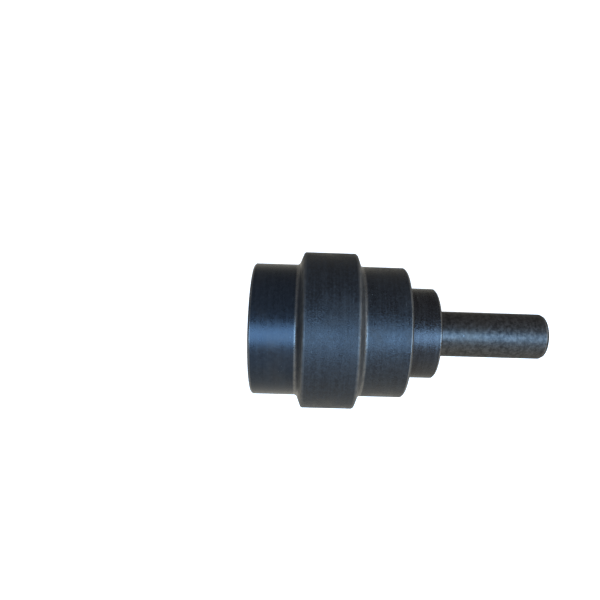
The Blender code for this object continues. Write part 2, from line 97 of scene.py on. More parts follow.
class Nodes:        # short ways to add nodes to a tree and link them
    def __init__(self, tree):
        self.tree = tree

    def node(self, kind, **settings):
        made = self.tree.nodes.new(kind)
        for key, value in settings.items():
            setattr(made, key, value)
        return made

    def feed(self, socket, value):        # links a socket or sets a constant
        if hasattr(value, "is_output"):
            self.tree.links.new(value, socket)
        else:
            socket.default_value = value

    def maths(self, operation, first, second, clamp=False):
        made = self.node("ShaderNodeMath", operation=operation, use_clamp=clamp)
        self.feed(made.inputs[0], first)
        self.feed(made.inputs[1], second)
        return made.outputs[0]

    def plus(self, first, second, clamp=False):
        return self.maths("ADD", first, second, clamp)

    def minus(self, first, second, clamp=False):
        return self.maths("SUBTRACT", first, second, clamp)

    def times(self, first, second, clamp=False):
        return self.maths("MULTIPLY", first, second, clamp)

    def swing(self, pattern, amount):        # the pattern's rise and fall about its middle
        return self.times(self.minus(pattern, 0.5), amount)

    def step(self, value, low, high):        # 0 below low, 1 above high
        made = self.node("ShaderNodeMapRange", interpolation_type="SMOOTHSTEP")
        self.feed(made.inputs["Value"], value)
        made.inputs["From Min"].default_value = low
        made.inputs["From Max"].default_value = high
        return made.outputs["Result"]

    def mix(self, share, first, second):
        made = self.node("ShaderNodeMix", data_type="RGBA")
        self.feed(made.inputs["Factor"], share)
        self.feed(made.inputs["A"], first)
        self.feed(made.inputs["B"], second)
        return made.outputs["Result"]

    def noise(self, vector, scale, detail, rough, warp=0.0):
        made = self.node("ShaderNodeTexNoise")
        self.feed(made.inputs["Vector"], vector)
        made.inputs["Scale"].default_value = scale
        made.inputs["Detail"].default_value = detail
        made.inputs["Roughness"].default_value = rough
        made.inputs["Distortion"].default_value = warp
        return made.outputs["Fac"]

    def place(self):
        return self.node("ShaderNodeTexCoord").outputs["Object"]

    def split(self, vector):
        parts = self.node("ShaderNodeSeparateXYZ")
        self.feed(parts.inputs[0], vector)
        return parts.outputs

    def latheCoordinates(self, place, drift):
        # radius plus length along the axis, with a slow change round the turn
        parts = self.split(place)
        flat = self.node("ShaderNodeCombineXYZ")
        self.feed(flat.inputs["X"], parts["X"])
        self.feed(flat.inputs["Z"], parts["Z"])
        radius = self.node("ShaderNodeVectorMath", operation="LENGTH")
        self.feed(radius.inputs[0], flat.outputs[0])
        around = self.node("ShaderNodeVectorMath", operation="NORMALIZE")
        self.feed(around.inputs[0], flat.outputs[0])
        slow = self.node("ShaderNodeVectorMath", operation="SCALE")
        self.feed(slow.inputs[0], around.outputs[0])
        slow.inputs["Scale"].default_value = drift
        across = self.node("ShaderNodeCombineXYZ")
        self.feed(across.inputs["Y"], self.plus(radius.outputs["Value"], parts["Y"]))
        total = self.node("ShaderNodeVectorMath", operation="ADD")
        self.feed(total.inputs[0], across.outputs[0])
        self.feed(total.inputs[1], slow.outputs[0])
        return total.outputs[0]

    def speck(self, place, scale, size, share):        # tiny round marks in a few cells
        cells = self.node("ShaderNodeTexVoronoi", feature="F1")
        self.feed(cells.inputs["Vector"], place)
        cells.inputs["Scale"].default_value = scale
        near = self.minus(1.0, self.step(cells.outputs["Distance"], size / 2, size))
        chosen = self.maths("LESS_THAN", self.split(cells.outputs["Color"])["X"], share)
        return self.times(near, chosen)

    def streaks(self, place, turn, scale, share, soft=0.04):        # thin straight scratches
        mapping = self.node("ShaderNodeMapping")
        self.feed(mapping.inputs["Vector"], place)
        mapping.inputs["Rotation"].default_value = turn
        mapping.inputs["Scale"].default_value = scale
        pattern = self.noise(mapping.outputs[0], scale=1.0, detail=1.0, rough=0.4)
        return self.step(pattern, 1.0 - share, 1.0 - share + soft)

    def wear(self):
        return self.node("ShaderNodeAttribute", attribute_name="wear").outputs["Fac"]

    def bump(self, height, distance, normal=None):
        made = self.node("ShaderNodeBump")
        made.inputs["Strength"].default_value = 1.0
        made.inputs["Distance"].default_value = distance
        self.feed(made.inputs["Height"], height)
        if normal is not None:
            self.feed(made.inputs["Normal"], normal)
        return made.outputs[0]

    def byRay(self, others, seen):        # seen is for the camera, others for light and reflections
        choose = self.node("ShaderNodeMixShader")
        self.feed(choose.inputs[0], self.node("ShaderNodeLightPath").outputs["Is Camera Ray"])
        self.feed(choose.inputs[1], others.outputs[0])
        self.feed(choose.inputs[2], seen.outputs[0])
        return choose.outputs[0]


class Finish(Nodes):        # a material's nodes
    def __init__(self, name):
        self.material = bpy.data.materials.new(name)
        self.material.use_nodes = True
        super().__init__(self.material.node_tree)
        self.shader = self.tree.nodes["Principled BSDF"]


def band(start, end, soft, rough=0.0, calm=0.0, blue=0.0, bare=0.0):
    # a stretch along the axis: soft is half the width of its edges, rough is added to the roughness,
    # calm quietens speckle and clouds, and blue and bare are shares of those tones
    return {"start": start, "end": end, "soft": soft,
            "rough": rough, "calm": calm, "blue": blue, "bare": bare}


def bandMasks(made, place, bands):
    along = made.split(place)["Y"]
    masks = []
    for part in bands:
        started = made.step(along, part["start"] - part["soft"], part["start"] + part["soft"])
        ended = made.step(along, part["end"] - part["soft"], part["end"] + part["soft"])
        masks.append((made.times(started, made.minus(1.0, ended)), part))
    return masks


oxideLook = {
    "dark": (0.021, 0.023, 0.0265, 1),
    "light": (0.042, 0.046, 0.0508, 1),
    "brown": (0.060, 0.052, 0.046, 1),
    "brownShare": 0.20,
    "blue": (0.004, 0.018, 0.037, 1),
    "bare": (0.46, 0.42, 0.37, 1),
    "dust": (0.30, 0.33, 0.34, 1),
    "dustShare": 0.02,
    "roughness": 0.40,
    "metallic": 0.70,
    "lines": 0.45,              # strength of the turning lines
    "grain": 0.50,              # depth of the fine grain
    "mottle": 0.5,              # how much the spots lighten the tone
    "speckle": 0.38,
    "clouds": 0.16,             # slow change of roughness
    "scratches": 0.25,
    "wear": 0.8,
    "wearFloor": 0.55,          # share of the wear that is there all round
    "rim": 0.92,                # how much a grazing view brightens the finish
    "bands": (),
    "drift": 0.0016,            # how the turning lines change round the turn
    "cloudNoise": (55.0, 4.0, 0.6, 0.4),        # every noise: scale, detail, roughness, warp
    "spotNoise": (420.0, 3.0, 0.65),
    "speckleNoise": (1050.0, 2.0, 0.7),
    "grainNoise": (1900.0, 2.0, 0.6),
    "broadNoise": (620.0, 2.0, 0.55),
    "fineNoise": (2600.0, 2.0, 0.6),
    "patchNoise": (260.0, 3.0, 0.6),
    "spotEdge": (0.35, 0.70), "lineEdge": (0.3, 0.7), "speckleEdge": (0.38, 0.66),
    "rustEdge": (0.45, 0.72), "patchEdge": (0.30, 0.65),
    "dustMarks": (190.0, 0.07),                 # cells to a metre, size in a cell
    "scratchSets": (((0.4, 0.9, 0.3), (95, 2600, 700), 0.23),       # turn, scale, share
                    ((1.2, 0.2, 0.8), (110, 2400, 800), 0.21)),
    "speckleTone": 1.3,
    "spotRough": 0.22, "lineRough": 0.3, "speckleRough": 0.4, "wornRough": 0.12,
    "fineDepth": 0.00003, "broadDepth": 0.00006, "grainDepth": 0.00006,
    "speckleDepth": 0.00012, "dustDepth": 0.00004,
}


def wornShare(made, place, look, bands):        # where the bare metal shows
    patches = made.step(made.noise(place, *look["patchNoise"]), *look["patchEdge"])
    patches = made.plus(look["wearFloor"], made.times(patches, 1.0 - look["wearFloor"]))
    worn = made.times(made.times(made.wear(), patches), look["wear"], clamp=True)
    for inside, part in bands:
        if part["bare"]:
            worn = made.maths("MAXIMUM", worn, made.times(inside, made.times(patches, part["bare"])))
    return worn


def oxideFinish(name, **changes):
    look = {**oxideLook, **changes}
    made = Finish(name)
    place = made.place()
    lathe = made.latheCoordinates(place, look["drift"])
    cloud = made.noise(place, *look["cloudNoise"])
    spots = made.noise(place, *look["spotNoise"])
    broadLines = made.noise(lathe, *look["broadNoise"])
    speckle = made.step(made.noise(place, *look["speckleNoise"]), *look["speckleEdge"])
    bands = bandMasks(made, place, look["bands"])

    lively = 1.0
    for inside, part in bands:
        if part["calm"]:
            lively = made.times(lively, made.minus(1.0, made.times(inside, part["calm"])))
    speckled = made.swing(speckle, made.times(lively, look["speckle"]))
    clouded = made.swing(cloud, made.times(lively, look["clouds"]))

    tone = made.times(made.step(spots, *look["spotEdge"]), look["mottle"])
    tone = made.plus(tone, made.times(made.step(broadLines, *look["lineEdge"]), look["lines"]))
    tone = made.plus(tone, made.times(speckled, look["speckleTone"]), clamp=True)
    colour = made.mix(tone, look["dark"], look["light"])
    for inside, part in bands:
        if part["blue"]:
            colour = made.mix(made.times(inside, part["blue"]), colour, look["blue"])
    rust = made.times(made.step(cloud, *look["rustEdge"]), look["brownShare"])
    colour = made.mix(rust, colour, look["brown"])
    dust = made.speck(place, *look["dustMarks"], look["dustShare"])
    scratch = made.plus(*[made.streaks(place, *each) for each in look["scratchSets"]], clamp=True)
    scratch = made.times(scratch, look["scratches"])
    colour = made.mix(made.maths("MAXIMUM", dust, scratch), colour, look["dust"])
    worn = wornShare(made, place, look, bands)
    colour = made.mix(worn, colour, look["bare"])
    made.feed(made.shader.inputs["Base Color"], colour)
    made.shader.inputs["Specular Tint"].default_value = (look["rim"], look["rim"], look["rim"], 1)

    rough = made.plus(look["roughness"], made.swing(spots, look["spotRough"]))
    rough = made.plus(rough, clouded)
    rough = made.plus(rough, made.swing(broadLines, look["lines"] * look["lineRough"]))
    rough = made.plus(rough, made.times(speckled, look["speckleRough"]))
    for inside, part in bands:
        rough = made.plus(rough, made.times(inside, part["rough"]))
    rough = made.minus(rough, made.times(worn, look["wornRough"]), clamp=True)
    made.feed(made.shader.inputs["Roughness"], rough)
    metal = made.plus(look["metallic"], made.times(worn, 1.0 - look["metallic"]), clamp=True)
    made.feed(made.shader.inputs["Metallic"], metal)

    fineLines = made.noise(lathe, *look["fineNoise"])
    grain = made.noise(place, *look["grainNoise"])
    normal = made.bump(fineLines, look["fineDepth"] * look["lines"])
    normal = made.bump(broadLines, look["broadDepth"] * look["lines"], normal)
    normal = made.bump(grain, look["grainDepth"] * look["grain"], normal)
    normal = made.bump(speckled, look["speckleDepth"], normal)
    normal = made.bump(dust, look["dustDepth"], normal)
    made.feed(made.shader.inputs["Normal"], normal)
    return made.material


steelLook = {
    "dark": (0.40, 0.41, 0.42, 1),
    "light": (0.56, 0.57, 0.58, 1),
    "roughness": 0.26,
    "metallic": 1.0,
    "lines": 0.5,               # depth of the turning lines
    "oil": 0.25,                # share of thin oil film
    "oilTone": (0.30, 0.25, 0.17, 1),
    "drift": 0.0010,
    "cloudNoise": (120.0, 3.0, 0.6, 0.3),
    "lineNoise": (2200.0, 3.0, 0.6),
    "grainNoise": (1500.0, 2.0, 0.5),
    "lineEdge": (0.3, 0.7), "oilEdge": (0.45, 0.75),
    "cloudRough": 0.2, "lineDepth": 0.00002, "grainDepth": 0.000006,
}


def steelFinish(name, **changes):
    look = {**steelLook, **changes}
    made = Finish(name)
    place = made.place()
    cloud = made.noise(place, *look["cloudNoise"])
    lines = made.noise(made.latheCoordinates(place, look["drift"]), *look["lineNoise"])
    grain = made.noise(place, *look["grainNoise"])
    colour = made.mix(made.step(lines, *look["lineEdge"]), look["dark"], look["light"])
    film = made.times(made.step(cloud, *look["oilEdge"]), look["oil"])
    made.feed(made.shader.inputs["Base Color"], made.mix(film, colour, look["oilTone"]))
    rough = made.plus(look["roughness"], made.swing(cloud, look["cloudRough"]), clamp=True)
    made.feed(made.shader.inputs["Roughness"], rough)
    made.shader.inputs["Metallic"].default_value = look["metallic"]
    normal = made.bump(lines, look["lineDepth"] * look["lines"])
    made.feed(made.shader.inputs["Normal"], made.bump(grain, look["grainDepth"], normal))
    return made.material


mouldedLook = {
    "dark": (0.014, 0.014, 0.015, 1),
    "light": (0.026, 0.026, 0.027, 1),
    "roughness": 0.62,
    "grain": 0.5,
    "specular": 0.4,
    "cloudNoise": (160.0, 4.0, 0.6, 0.5),
    "grainNoise": (2400.0, 3.0, 0.6),
    "cloudEdge": (0.3, 0.7), "grainRough": 0.25, "grainDepth": 0.00003,
}


def mouldedFinish(name, **changes):
    look = {**mouldedLook, **changes}
    made = Finish(name)
    place = made.place()
    cloud = made.noise(place, *look["cloudNoise"])
    grain = made.noise(place, *look["grainNoise"])
    colour = made.mix(made.step(cloud, *look["cloudEdge"]), look["dark"], look["light"])
    made.feed(made.shader.inputs["Base Color"], colour)
    rough = made.plus(look["roughness"], made.swing(grain, look["grainRough"]), clamp=True)
    made.feed(made.shader.inputs["Roughness"], rough)
    made.shader.inputs["Specular IOR Level"].default_value = look["specular"]
    made.feed(made.shader.inputs["Normal"], made.bump(grain, look["grainDepth"] * look["grain"]))
    return made.material


shellMarks = {"flangeHalf": 0.0183, "flankInside": 0.0158, "flankOutside": 0.0208,
              "treadSoft": 0.0006, "flankSoft": 0.0008}


def shellBands():        # treads, flange and flanks were finished a little differently
    low, high = spanOf("roller_shell")
    middle = (low + high) / 2
    half, inside, outside = shellMarks["flangeHalf"], shellMarks["flankInside"], shellMarks["flankOutside"]
    soft, flankSoft = shellMarks["treadSoft"], shellMarks["flankSoft"]
    return (
        band(low, middle - half, soft, rough=-0.025, calm=0.8, blue=0.34),
        band(middle - half, middle + half, soft, rough=0.16),
        band(middle + half, high, soft, rough=0.065),
        band(middle + inside, middle + outside, flankSoft, rough=0.06, bare=0.26),
        band(middle - outside, middle - inside, flankSoft, rough=0.05, bare=0.15),
    )


spindleBands = (        # beside the collar and towards the free end
    band(0.0, 0.0019, 0.0003, rough=-0.14, bare=0.05),
    band(0.045, 0.10, 0.02, rough=0.05, bare=0.02),
)

finishes = {
    "shell_black": oxideFinish("shellOxide", roughness=0.34, clouds=0.5, bands=shellBands()),
    "collar_black": oxideFinish("collarOxide", dark=(0.030, 0.030, 0.033, 1), light=(0.063, 0.065, 0.068, 1),
                                brownShare=0.10, roughness=0.31, metallic=0.85, rim=0.76, lines=0.6,
                                mottle=0.30, speckle=0.28),
    "spindle_black": oxideFinish("spindleOxide", dark=(0.034, 0.034, 0.034, 1),
                                 light=(0.118, 0.114, 0.110, 1), brown=(0.092, 0.084, 0.074, 1),
                                 brownShare=0.42, roughness=0.40, metallic=0.9, rim=0.60, lines=0.2,
                                 grain=0.6, mottle=0.7, speckle=0.14, bands=spindleBands),
    "cover_black": oxideFinish("coverOxide", lines=0.8, mottle=0.3, brownShare=0.15),
    "spring_steel": oxideFinish("phosphatedSpring", dark=(0.030, 0.030, 0.032, 1),
                                light=(0.050, 0.050, 0.052, 1), lines=0.1, grain=0.9, roughness=0.52,
                                metallic=0.35),
    "ball_steel": steelFinish("ballSteel", light=(0.66, 0.67, 0.68, 1), roughness=0.12, lines=0.05),
    "race_steel": steelFinish("raceSteel", roughness=0.20),
    "seal_iron": steelFinish("sealIron", dark=(0.20, 0.20, 0.21, 1), light=(0.32, 0.32, 0.33, 1),
                             roughness=0.30),
    "spacer_steel": steelFinish("spacerSteel", dark=(0.30, 0.31, 0.32, 1), light=(0.44, 0.45, 0.46, 1),
                                roughness=0.36, lines=1.0),
    "nut_steel": steelFinish("nutSteel", dark=(0.30, 0.31, 0.32, 1), light=(0.42, 0.43, 0.44, 1),
                             roughness=0.34, lines=0.8),
    "plug_steel": steelFinish("zincPlug", dark=(0.42, 0.42, 0.42, 1), light=(0.58, 0.58, 0.57, 1),
                              roughness=0.36, oil=0.35),
    "washer_copper": steelFinish("copperWasher", dark=(0.48, 0.22, 0.13, 1), light=(0.72, 0.38, 0.25, 1),
                                 roughness=0.36, oilTone=(0.22, 0.10, 0.06, 1)),
    "nitrile_rubber": mouldedFinish("nitrileRubber"),
    "cage_polyamide": mouldedFinish("cagePolyamide", dark=(0.52, 0.46, 0.33, 1),
                                    light=(0.64, 0.58, 0.44, 1), roughness=0.45, grain=0.3, specular=0.5),
}
print("finishes made:", len(finishes))


def corner(radius, y, rounding=turning["softEdge"], wear=0.0, fade=0):
    # fade is 1 when the wear is strongest near the arc's start and gone at its end, -1 for the reverse
    return {"at": Vector((radius, y)), "rounding": rounding, "wear": wear, "fade": fade}


def stationsOf(corners):
    # (radius, y, wear) along the outline, with arcs at the corners and a support ring beside each arc
    count = len(corners)
    onAxis = corners[0]["at"].x == 0.0
    stations = []
    for index, this in enumerate(corners):
        here = this["at"]
        if onAxis and index in (0, count - 1):
            stations.append((here.x, here.y, 0.0))
            continue
        before = corners[index - 1]["at"] - here
        after = corners[(index + 1) % count]["at"] - here
        room = min(before.length, after.length) / 2
        before.normalize()
        after.normalize()
        half = before.angle(after) / 2
        rounding = min(this["rounding"], room * turning["arcRoom"] * tan(half))
        reach = rounding / tan(half)
        support = min(reach + turning["edgeReach"], room)
        centre = here + (before + after).normalized() * rounding / sin(half)
        first = here + before * reach - centre
        last = here + after * reach - centre
        steps = max(2, round((pi - 2 * half) / turning["arcStep"]))
        stations.append((*(here + before * support), 0.0))
        for step in range(steps + 1):
            share = step / steps
            point = centre + first.lerp(last, share).normalized() * rounding
            near = share if this["fade"] > 0 else 1.0 - share
            left = 1.0
            if this["fade"]:
                left = max(0.0, 1.0 - abs(near - turning["fadePeak"]) / turning["fadeReach"])
            stations.append((*point, this["wear"] * left))
        stations.append((*(here + after * support), 0.0))
    return stations


def finishMesh(name, mesh, finish, sharp=turning["sharpAngle"]):
    mesh.shade_smooth()
    mesh.set_sharp_from_angle(angle=sharp)
    mesh.materials.clear()
    mesh.materials.append(finish)
    return newObject(name, mesh)


def turnedMesh(name, stations, segments):        # spins the outline round the axis
    verts, faces, wear, rings = [], [], [], []
    for radius, y, worn in stations:
        if radius < turning["onAxis"]:
            rings.append([len(verts)] * segments)
            verts.append((0.0, y, 0.0))
            wear.append(worn)
            continue
        rings.append(list(range(len(verts), len(verts) + segments)))
        for index in range(segments):
            angle = tau * index / segments
            verts.append((radius * cos(angle), y, radius * sin(angle)))
            wear.append(worn)
    pairs = list(zip(rings, rings[1:]))
    if stations[0][0] > turning["onAxis"]:
        pairs.append((rings[-1], rings[0]))
    for this, following in pairs:
        for index in range(segments):
            other = (index + 1) % segments
            loop = [this[index], this[other], following[other], following[index]]
            face = [v for place, v in enumerate(loop) if v != loop[place - 1]]
            if len(face) > 2:
                faces.append(face)
    mesh = bpy.data.meshes.new(name)
    mesh.from_pydata(verts, [], faces)
    attribute = mesh.attributes.new("wear", "FLOAT", "POINT")
    attribute.data.foreach_set("value", wear)
    outwards(mesh)
    return mesh


def outwards(mesh):        # welds stray doubles and turns every face outwards
    shape = bmesh.new()
    shape.from_mesh(mesh)
    bmesh.ops.remove_doubles(shape, verts=shape.verts, dist=turning["weld"])
    bmesh.ops.recalc_face_normals(shape, faces=shape.faces)
    shape.to_mesh(mesh)
    shape.free()


def turnedPiece(name, corners, finish, small=False):
    segments = turning["smallSegments"] if small else turning["segments"]
    return finishMesh(name, turnedMesh(name, stationsOf(corners), segments), finish)


def squareSection(inner, outer, low, high, rounding, wear=0.0):
    places = ((inner, low), (outer, low), (outer, high), (inner, high))
    return [corner(radius, y, rounding, wear) for radius, y in places]


def apply(piece, kind, **settings):
    modifier = piece.modifiers.new(kind.lower(), kind)
    for key, value in settings.items():
        setattr(modifier, key, value)
    bpy.context.view_layer.update()
    solved = piece.evaluated_get(bpy.context.evaluated_depsgraph_get())
    mesh = bpy.data.meshes.new_from_object(solved)
    piece.modifiers.remove(modifier)
    piece.data = mesh


def carve(piece, cutterMesh):
    cutter = newObject(piece.name + "Cutter", cutterMesh)
    apply(piece, "BOOLEAN", operation="DIFFERENCE", solver="EXACT", object=cutter)
    bpy.data.objects.remove(cutter, do_unlink=True)
    piece.data.shade_smooth()
    piece.data.set_sharp_from_angle(angle=turning["sharpAngle"])


def breakEdges(piece, width):
    apply(piece, "BEVEL", width=width, segments=2, limit_method="ANGLE", angle_limit=turning["bevelAngle"],
          miter_outer="MITER_ARC", harden_normals=True)


def meshFrom(shape, name):
    mesh = bpy.data.meshes.new(name)
    bmesh.ops.recalc_face_normals(shape, faces=shape.faces)
    shape.to_mesh(mesh)
    shape.free()
    return mesh


def settle(piece, node, body):        # puts the piece on its body and hides the frame's node that it stands for
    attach(piece, body)
    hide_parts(node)
    return piece


spindleShape = {
    "radius": 0.0150, "seat": 0.0125, "endChamfer": 0.0018, "endInset": 0.0009,
    "shoulderReach": 0.0012,    # how far the shoulder runs past the fixed seal ring
    "seatInside": 0.0017,       # how far inside the inner spacer the smaller seat begins
    "centreHole": 0.0025, "coneHalf": radians(30), "pilot": 0.0010, "pilotDepth": 0.0028, "drillTip": 0.0006,
    "threadPitch": 0.0015, "threadDepth": 0.0009, "threadEnd": 0.0016, "threadChamfer": 0.0012,
    "keyDepth": 0.0025, "keyWidth": 0.0050,
}

threadShape = {"crest": 0.06, "crestRound": 0.00004, "crestWear": 0.3, "rootRound": 0.00008}


def centreHole(end, inward, shape):
    cone = (shape["centreHole"] - shape["pilot"]) / tan(shape["coneHalf"])
    return [
        corner(shape["centreHole"], end, 0.0001, 0.9),
        corner(shape["pilot"], end + inward * cone),
        corner(shape["pilot"], end + inward * (cone + shape["pilotDepth"])),
        corner(0.0, end + inward * (cone + shape["pilotDepth"] + shape["drillTip"])),
    ]


def threadTurns(radius, depth, start, finish, pitch):        # V grooves from start to finish
    crest, crestRound, crestWear = threadShape["crest"], threadShape["crestRound"], threadShape["crestWear"]
    turns = int(abs(finish - start) / pitch)
    way = 1 if finish > start else -1
    corners = []
    for turn in range(turns):
        y = start + way * turn * pitch
        corners += [corner(radius, y + way * pitch * crest, crestRound, crestWear),
                    corner(radius - depth, y + way * pitch / 2, threadShape["rootRound"]),
                    corner(radius, y + way * pitch * (1 - crest), crestRound, crestWear)]
    return corners


def makeSpindle():
    shape = spindleShape
    innerEnd, freeEnd = spanOf("spindle")
    shoulder = topOf("spindle")
    shoulderHigh = spanOf("fixed_seal_ring")[1] + shape["shoulderReach"]
    shoulderLow = spanOf("inboard_bearing_inner_race")[1] + fitting["gap"]
    seatStart = spanOf("inner_spacer")[0] + shape["seatInside"]
    threadStart = spanOf("lock_washer")[0]
    corners = centreHole(freeEnd, -1, shape)[::-1] + [
        corner(shape["radius"] - shape["endInset"], freeEnd, 0.0003, 0.3),
        corner(shape["radius"], freeEnd - shape["endChamfer"], 0.0004, 0.35),
        corner(shape["radius"], shoulderHigh),
        corner(shoulder, shoulderHigh, 0.0004),
        corner(shoulder, shoulderLow, 0.0004),
        corner(shape["radius"], shoulderLow),
        corner(shape["radius"], seatStart, 0.0005),
        corner(shape["seat"], seatStart),
    ]
    corners += threadTurns(shape["seat"], shape["threadDepth"], threadStart, innerEnd + shape["threadEnd"],
                           shape["threadPitch"])
    corners += [corner(shape["seat"] - shape["threadChamfer"], innerEnd, 0.0003)]
    corners += centreHole(innerEnd, 1, shape)
    piece = turnedPiece("spindle_turned", corners, finishes["spindle_black"])

    past = 2 * fitting["overcut"]
    keyEnd = spanOf("outboard_bearing_inner_race")[0] - fitting["gap"]
    size = Vector((shape["keyWidth"], keyEnd - innerEnd + past, shape["keyDepth"] + past))
    middle = Vector((0.0, (keyEnd + innerEnd - past) / 2, shape["seat"] - shape["keyDepth"] + size.z / 2))
    key = bmesh.new()
    bmesh.ops.create_cube(key, size=1.0, matrix=Matrix.Translation(middle) @ Matrix.Diagonal((*size, 1.0)))
    carve(piece, meshFrom(key, "key"))
    settle(piece, "spindle", "spindle")


collarShape = {
    "bore": 0.0153, "mouthChamfer": 0.0010, "edgeChamfer": 0.0008, "cupRadius": 0.0260, "cupDepth": 0.0100,
    "grooveRadius": 0.0175,
}


def makeCollar():
    shape = collarShape
    bore, cupRadius, grooveRadius = shape["bore"], shape["cupRadius"], shape["grooveRadius"]
    back, face = spanOf("seal_collar")
    radius = topOf("seal_collar")
    ringLow, ringHigh = spanOf("collar_o_ring")
    grooveLow, grooveHigh = ringLow - fitting["grooveRoom"], ringHigh + fitting["grooveRoom"]
    corners = [
        corner(bore, face - shape["mouthChamfer"], wear=0.5),
        corner(bore + shape["mouthChamfer"], face, 0.0002, 1.0),
        corner(radius - shape["edgeChamfer"], face, 0.0003, 0.42),
        corner(radius, face - shape["edgeChamfer"], 0.0003, 0.5),
        corner(radius, back, 0.0005, 0.5),
        corner(cupRadius, back, 0.0003),
        corner(cupRadius, back + shape["cupDepth"], 0.0006),
        corner(bore, back + shape["cupDepth"], 0.0003),
        corner(bore, grooveLow),
        corner(grooveRadius, grooveLow, 0.0003),
        corner(grooveRadius, grooveHigh, 0.0003),
        corner(bore, grooveHigh),
    ]
    settle(turnedPiece("seal_collar_turned", corners, finishes["collar_black"]), "seal_collar", "spindle")


nutShape = {
    "radius": 0.0190, "bore": 0.0128, "chamfer": 0.0012, "backChamfer": 0.0006, "mouth": 0.0006,
    "threadDepth": 0.0008, "threadPitch": 0.0014, "slots": 4, "slotWidth": 0.0050, "slotDepth": 0.0020,
}


def makeLockNut():
    shape = nutShape
    low, high = spanOf("lock_nut")
    radius, back, mouth = shape["radius"], shape["backChamfer"], shape["mouth"]
    corners = [
        corner(radius - shape["chamfer"], low, 0.0002, 0.5),
        corner(radius, low + shape["chamfer"], 0.0002, 0.5),
        corner(radius, high - back, 0.0002, 0.5),
        corner(radius - back, high, 0.0002, 0.5),
        corner(shape["bore"] + mouth, high),
    ]
    corners += threadTurns(shape["bore"], -shape["threadDepth"], high - mouth, low + mouth,
                           shape["threadPitch"])
    corners += [corner(shape["bore"] + mouth, low)]
    piece = turnedPiece("lock_nut_turned", corners, finishes["nut_steel"], small=True)

    past = fitting["overcut"]
    middle = Vector((0.0, (low + high) / 2, radius - shape["slotDepth"] / 2 + past / 2))
    size = (shape["slotWidth"], high - low + 2 * past, shape["slotDepth"] + past, 1.0)
    slots = bmesh.new()
    for slot in range(shape["slots"]):
        place = Matrix.Rotation(slot * tau / shape["slots"], 4, "Y") @ Matrix.Translation(middle)
        bmesh.ops.create_cube(slots, size=1.0, matrix=place @ Matrix.Diagonal(size))
    carve(piece, meshFrom(slots, "slots"))
    settle(piece, "lock_nut", "spindle")


def plate(name, stations, low, high, finish, closed):
    # a flat ring; each station is (angle, inner radius, outer radius)
    shape = bmesh.new()
    sections = []
    for angle, inner, outer in stations:
        around = Vector((cos(angle), 0.0, sin(angle)))
        loop = ((inner, low), (outer, low), (outer, high), (inner, high))
        sections.append([shape.verts.new(around * radius + Vector((0.0, y, 0.0))) for radius, y in loop])
    pairs = list(zip(sections, sections[1:]))
    if closed:
        pairs.append((sections[-1], sections[0]))
    for this, following in pairs:
        for side in range(4):
            other = (side + 1) % 4
            shape.faces.new((this[side], this[other], following[other], following[side]))
    if not closed:
        shape.faces.new(sections[0])
        shape.faces.new(reversed(sections[-1]))
    return finishMesh(name, meshFrom(shape, name), finish)


washerShape = {
    "bore": 0.0128, "rim": 0.0172, "tabs": 9, "tab": 0.0030, "tabRoot": radians(8), "tabTip": radians(6),
    "keyWidth": 0.0044, "keyReach": 0.0020, "keyTaper": radians(1),
    "rimSteps": 5, "rimShare": 0.98,        # between two tabs: steps, and the share that they cover
}


def makeLockWasher():
    shape = washerShape
    low, high = spanOf("lock_washer")
    keyRoot = pi / 2 - acos(shape["keyWidth"] / 2 / shape["bore"])
    pitch = tau / shape["tabs"]
    plain = (shape["bore"], shape["rim"])
    stations = []
    for tab in range(shape["tabs"]):
        middle = pi / 2 + tab * pitch
        root, tip, bore = shape["tabRoot"], shape["tabTip"], shape["bore"]
        if tab == 0:        # this one also holds the key
            root, tip, bore = keyRoot, keyRoot - shape["keyTaper"], shape["bore"] - shape["keyReach"]
        stations.append((middle - root, *plain))
        stations += [(middle + tip * step / 3, bore, shape["rim"] + shape["tab"]) for step in range(-3, 4)]
        stations.append((middle + root, *plain))
        for step in range(1, shape["rimSteps"]):
            along = (pitch - 2 * root) * step / shape["rimSteps"] * shape["rimShare"]
            stations.append((middle + root + along, *plain))
    piece = plate("lock_washer_tabbed", stations, low, high, finishes["spring_steel"], closed=True)
    settle(piece, "lock_washer", "spindle")


def makeRing(name, node, body, middleRadius, sectionRadius):        # a rubber ring with a round section
    low, high = spanOf(node)
    y = (low + high) / 2
    stations = []
    for step in range(turning["sectionSteps"]):
        angle = tau * step / turning["sectionSteps"]
        stations.append((middleRadius + sectionRadius * cos(angle), y + sectionRadius * sin(angle), 0.0))
    mesh = turnedMesh(name, stations, turning["smallSegments"])
    settle(finishMesh(name, mesh, finishes["nitrile_rubber"], turning["roundAngle"]), node, body)


sealShape = {
    "lip": 0.0252, "bore": 0.0192, "lipDepth": 0.0034, "lipChamfer": 0.0004, "rampTop": 0.0226,
    "rampFoot": 0.0204, "cup": 0.0260, "toric": 0.0019, "collarRing": 0.01625, "collarSection": 0.00095,
    "coverRing": 0.03175, "coverSection": 0.00095,
}


